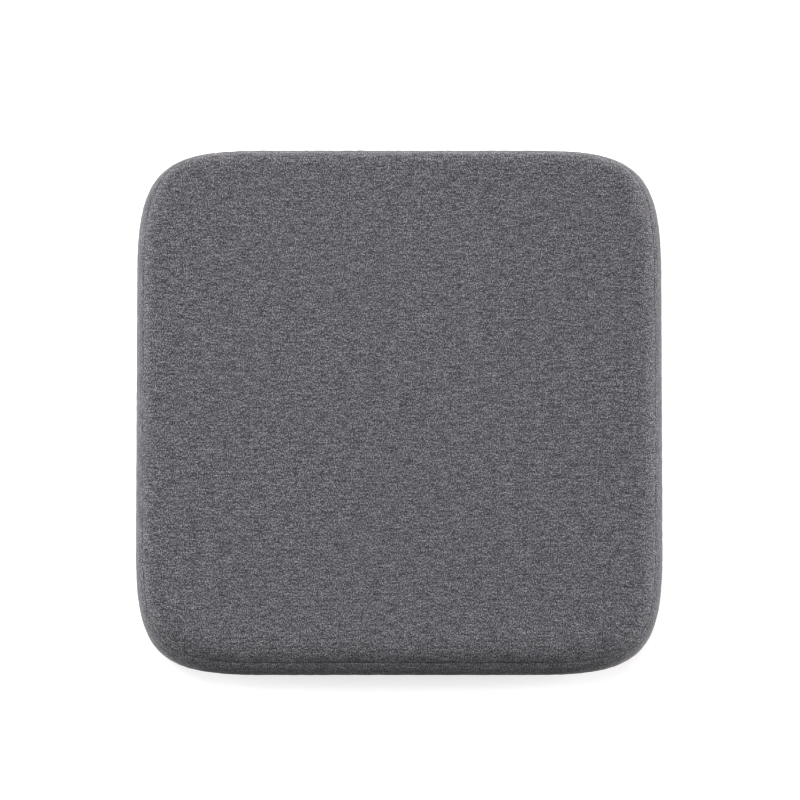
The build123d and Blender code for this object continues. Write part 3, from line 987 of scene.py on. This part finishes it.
for strip_name, node, above in (
    ("upper_zip_strip", "zip_strip_upper", True),
    ("lower_zip_strip", "zip_strip_lower", False),
):
    points = folded_strip(above)
    finish_knit(sheet(strip_name, points), strip_uv(points, strip_turns), node, hem_layer)

zip_opening_half = 124 * mm
patch_turn = 0.6 * mm
for patch_name, node, sign in (
    ("left_end_patch", "zip_end_patch_left", 1),
    ("right_end_patch", "zip_end_patch_right", -1),
):
    far, near = zip_panel_half - 0.1 * mm, zip_opening_half
    across = np.linspace(near, far, 41)
    patch_turns = np.sort(0.5 + sign * across / edge_length)
    low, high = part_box(node)[0][2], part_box(node)[1][2]
    patch_paths = np.linspace(path_of_height(high), path_of_height(low), 31)
    points = plain_cover(patch_turns[:, None], patch_paths[None, :])
    side_gap = np.minimum(across - near, far - across)[:: sign]
    end_gap = np.minimum(high - points[0, :, 2], points[0, :, 2] - low)
    gap = np.minimum(side_gap[:, None], end_gap[None, :])
    sunk = turned_in(gap, patch_turn) + 0.25 * mm + recessed(points[..., 0], points[..., 2])
    points -= outward(points, False) * sunk[..., None]
    finish_knit(sheet(patch_name, points), strip_uv(points, patch_turns), node, cover_cloth)


# ---- Cover top panel ----
# One square of the knit with rounded corners, sewn to the side band all round. It rolls over
# the foam's edge, and its cut edge turns in at the upper seam.
seam_rows, seam_speed = beside_seam(seam_paths[0], -1)
paths = np.concatenate(
    [
        np.linspace(0.035, 0.72, 20, endpoint=False),
        np.linspace(0.72, 1.0, 13, endpoint=False),
        np.linspace(1.0, seam_rows[-1], 16, endpoint=False),
        seam_rows[::-1],
    ]
)
points = sewn_edge(cover(panel_turns, paths), panel_turns, paths, seam_paths[0], seam_speed)
top_panel = rings("top_cloth", points, True, False)
top_uv = panel_uv(points, panel_turns, int(np.argmin(np.abs(paths - 1.0))), False)
finish_knit(top_panel, top_uv, "cover_top_panel", cover_cloth)


# ---- Long seams ----
# Charcoal overlock threads bind the cut edges inside the upper and lower seams. They hardly
# show from outside.
seam_depth = 1.6 * mm  # from the plain surface down to the stitches, past the pulled-in cloth
cover_thread = spun_thread("charcoal_spun_polyester_thread", "#5b5a60", "#37363b")
for seam_name, node, seam, drop in (
    ("upper_overlock", "top_seam_thread", seam_paths[0], 3.4 * mm),
    ("lower_overlock", "base_seam_thread", seam_paths[1], -3.4 * mm),
):
    overlock = seam_thread(seam_name, seam, seam_depth, 2.2 * mm, drop, 3.0 * mm, 0.2 * mm)
    overlock.data.materials.append(cover_thread)
    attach(overlock, "pad")
    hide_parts(node)


# ---- Zip tapes ----
# Two woven polyester tapes with a herringbone face. Each has a thicker cord line beside the
# teeth, and is stitched to its strip's fold.
tape_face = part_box("zip_tape_upper")[1][1]
tape_thickness = 0.55 * mm
tape_half = 128 * mm


def woven_tape():
    """Herringbone: slanted threads 0.9 mm apart that change direction every 3 mm."""
    made, tree, shader = new_material("herringbone_woven_tape")
    place = add_node(tree, "ShaderNodeTexCoord").outputs["Object"]
    split = add_node(tree, "ShaderNodeSeparateXYZ", {"Vector": place})
    zigzag = add_node(tree, "ShaderNodeMath", {0: split.outputs["Z"], 1: 3.0 * mm}, operation="PINGPONG")
    slant = add_node(tree, "ShaderNodeMath", {0: split.outputs["X"], 1: zigzag}, operation="ADD")
    angle = add_node(tree, "ShaderNodeMath", {0: slant, 1: math.tau / (0.9 * mm)}, operation="MULTIPLY")
    rib = add_node(tree, "ShaderNodeMath", {0: angle}, operation="SINE")
    tone = add_node(tree, "ShaderNodeMath", {0: rib, 1: 0.5, 2: 0.5}, operation="MULTIPLY_ADD")
    ramp = add_node(tree, "ShaderNodeValToRGB", {"Fac": tone}, ((0, "#2c2c30"), (1, "#4b4b50")))
    bump = add_node(tree, "ShaderNodeBump", {"Height": rib, "Strength": 0.5, "Distance": 0.15 * mm})
    feed(tree, shader, {"Base Color": ramp, "Normal": bump})
    feed(tree, shader, {"Roughness": 0.75})
    return made


tape_material = woven_tape()
tape_turns = np.linspace(0.5 - tape_half / edge_length, 0.5 + tape_half / edge_length, 257)
edge_point, edge_way = edge_at(tape_turns)
tape_line = edge_point - edge_way * (half_side - tape_face)
for tape_name, node in (("upper_tape", "zip_tape_upper"), ("lower_tape", "zip_tape_lower")):
    low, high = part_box(node)[0][2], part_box(node)[1][2]
    heights = np.linspace(high, low, 24)
    inner = 0 if low < middle_height else -1
    heights[inner] = middle_height + (0.3 * mm if inner else -0.3 * mm)
    from_middle = np.abs(heights - middle_height)
    cord_line = 0.12 * mm * np.exp(-(((from_middle - 3.6 * mm) / (0.35 * mm)) ** 2))
    points = np.empty((len(tape_turns), len(heights), 3))
    points[..., :2] = tape_line[:, None] - edge_way[:, None] * (0.12 * mm - cord_line)[None, :, None]
    points[..., 2] = heights
    tape = sheet(tape_name, points)
    thicken(tape, tape_thickness - 0.12 * mm)
    tape.data.materials.append(tape_material)
    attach(tape, "pad")
    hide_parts(node)


# ---- Zip coils ----
# Each row of teeth is one length of nylon monofilament wound into a flattened coil, whose
# heads lock between those of the other row. The wire is dyed, smooth and a little glossy.
wire = 0.72 * mm
elements = 135
samples = 22


def dyed_nylon():
    """Drawn polyamide wire: semi-gloss, with a slight mottle in the dye."""
    made, tree, shader = new_material("drawn_nylon_monofilament")
    place = add_node(tree, "ShaderNodeTexCoord").outputs["Object"]
    mottle = add_node(tree, "ShaderNodeTexNoise", {"Vector": place, "Scale": 700.0, "Detail": 2.0})
    ramp = add_node(tree, "ShaderNodeValToRGB", {"Fac": mottle}, ((0, "#2b2b2f"), (1, "#46464b")))
    feed(tree, shader, {"Base Color": ramp})
    feed(tree, shader, {"Roughness": 0.32, "IOR": 1.53})
    return made


def coil_line(low, high, head_up):
    """The wire's line: for each element a loop that is |cos|^0.55 across the tape and |sin|^0.7
    through it. All of the step to the next element is made at the loop's back."""
    step = (high[0] - low[0] - wire) / (elements - 1)
    place = np.arange(elements * samples) / samples
    share = place - np.floor(place)
    lift = smooth((share - 0.78) / 0.22) + smooth(share / 0.22) - 1
    x = low[0] + wire / 2 + (np.floor(place) + lift / 2) * step
    angle = share * math.tau
    half_across = (high[2] - low[2] - wire) / 2
    half_through = (high[1] - low[1] - wire) / 2
    back = np.sign(np.cos(angle)) * np.abs(np.cos(angle)) ** 0.55
    through = np.sign(np.sin(angle)) * np.abs(np.sin(angle)) ** 0.7
    z = (low[2] + high[2]) / 2 + (1 if head_up else -1) * half_across * -back
    y = (low[1] + high[1]) / 2 - half_through * through
    return np.stack([x, y, z], 1)


coil_material = dyed_nylon()
for coil_name, node, head_up in (
    ("upper_coil", "zip_coil_upper", False),
    ("lower_coil", "zip_coil_lower", True),
):
    line = coil_line(*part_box(node), head_up)
    vertices, faces = tube(line, np.array([[1.0, 0, 0]]), wire / 2, 8, False)
    coil = mesh_from(coil_name, vertices, *faces)
    coil.data.materials.append(coil_material)
    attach(coil, "pad")
    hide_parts(node)


# ---- Zip stops, slider and pull ----
# Stamped aluminium clips end the zip. The slider and its pull are die-cast zinc with a dark
# plated finish; the slider's two plates ride over and under the teeth, and its bridge holds
# the pull's bar.
def plated_metal(name, colour, worn, roughness):
    """Metal with a thin plating: soft casting ripple and a little uneven polish."""
    made, tree, shader = new_material(name)
    place = add_node(tree, "ShaderNodeTexCoord").outputs["Object"]
    ripple = add_node(tree, "ShaderNodeTexNoise", {"Vector": place, "Scale": 420.0, "Detail": 4.0})
    ramp = add_node(tree, "ShaderNodeValToRGB", {"Fac": ripple}, ((0.3, colour), (0.75, worn)))
    polish = add_node(tree, "ShaderNodeMath", {0: ripple, 1: 0.16, 2: roughness}, operation="MULTIPLY_ADD")
    bump = add_node(tree, "ShaderNodeBump", {"Height": ripple, "Strength": 0.12, "Distance": 0.1 * mm})
    feed(tree, shader, {"Base Color": ramp, "Roughness": polish, "Normal": bump})
    feed(tree, shader, {"Metallic": 1.0})
    return made


def softened(node, name, width):
    """A copy of a CAD part with its loose triangles merged and its edges rounded."""
    made = bpy.data.meshes.new(name)
    source = bmesh.new()
    source.from_mesh(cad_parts[node].data)
    bmesh.ops.remove_doubles(source, verts=source.verts, dist=0.01 * mm)
    bmesh.ops.dissolve_limit(source, angle_limit=math.radians(1), verts=source.verts, edges=source.edges)
    source.to_mesh(made)
    source.free()
    piece = bpy.data.objects.new(name, made)
    scene.collection.objects.link(piece)
    round_edges(piece, width, 3, 30)
    made.polygons.foreach_set("use_smooth", np.ones(len(made.polygons), bool))
    return piece


slider_metal = plated_metal("gunmetal_plated_zinc", "#4f4f54", "#6a6a6f", 0.22)
stop_metal = plated_metal("stamped_aluminium", "#6f6f74", "#88888c", 0.3)
for node, name, width, body, metal, slot in (
    ("zip_top_stops", "top_stop_clips", 0.18 * mm, "pad", stop_metal, "stop_metal"),
    ("zip_bottom_stop", "bottom_stop_bar", 0.18 * mm, "pad", stop_metal, "stop_metal"),
    ("slider_body", "slider_casting", 0.16 * mm, "slider", slider_metal, "slider_metal"),
    ("slider_pull", "pull_casting", 0.22 * mm, "pull", slider_metal, "slider_metal"),
):
    part = softened(node, name, width)
    part.data.materials.clear()
    part.data.materials.append(metal)
    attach(part, body)
    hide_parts(node)


# ---- Zip stitching ----
# Two rows of lockstitch in charcoal thread hold the tapes to the folded strips. Each stitch
# arches over the cloth and dives into it at both ends.
stitch_count = 78
stitch_share = np.linspace(-1, 1, 7)
stitch_rise = 0.12 * mm - 0.55 * mm * stitch_share**4
stitch_line = np.stack([stitch_share * 1.5 * mm, stitch_rise, np.zeros(7)], 1)
stitch_points, stitch_faces = tube(stitch_line, np.array([[0, 0, 1.0]]), 0.24 * mm, 6, False)
stitch_x = (np.arange(stitch_count) - (stitch_count - 1) / 2) * stitch_pitch
rear_samples = edge_points[:, 1] > 0.15
order = np.argsort(edge_points[rear_samples, 0])
wall = np.interp(stitch_x, edge_points[rear_samples, 0][order], edge_points[rear_samples, 1][order])
wall = wall - recessed(stitch_x, middle_height + stitch_row)
rows = [np.full(stitch_count, middle_height + sign * stitch_row) for sign in (1, -1)]
places = np.concatenate([np.stack([stitch_x, wall, row], 1) for row in rows])
vertices, faces = many(places, stitch_points, stitch_faces)
stitches = mesh_from("tape_lockstitch", vertices, *faces)
stitches.data.materials.append(cover_thread)
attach(stitches, "pad")
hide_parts("zip_stitching")
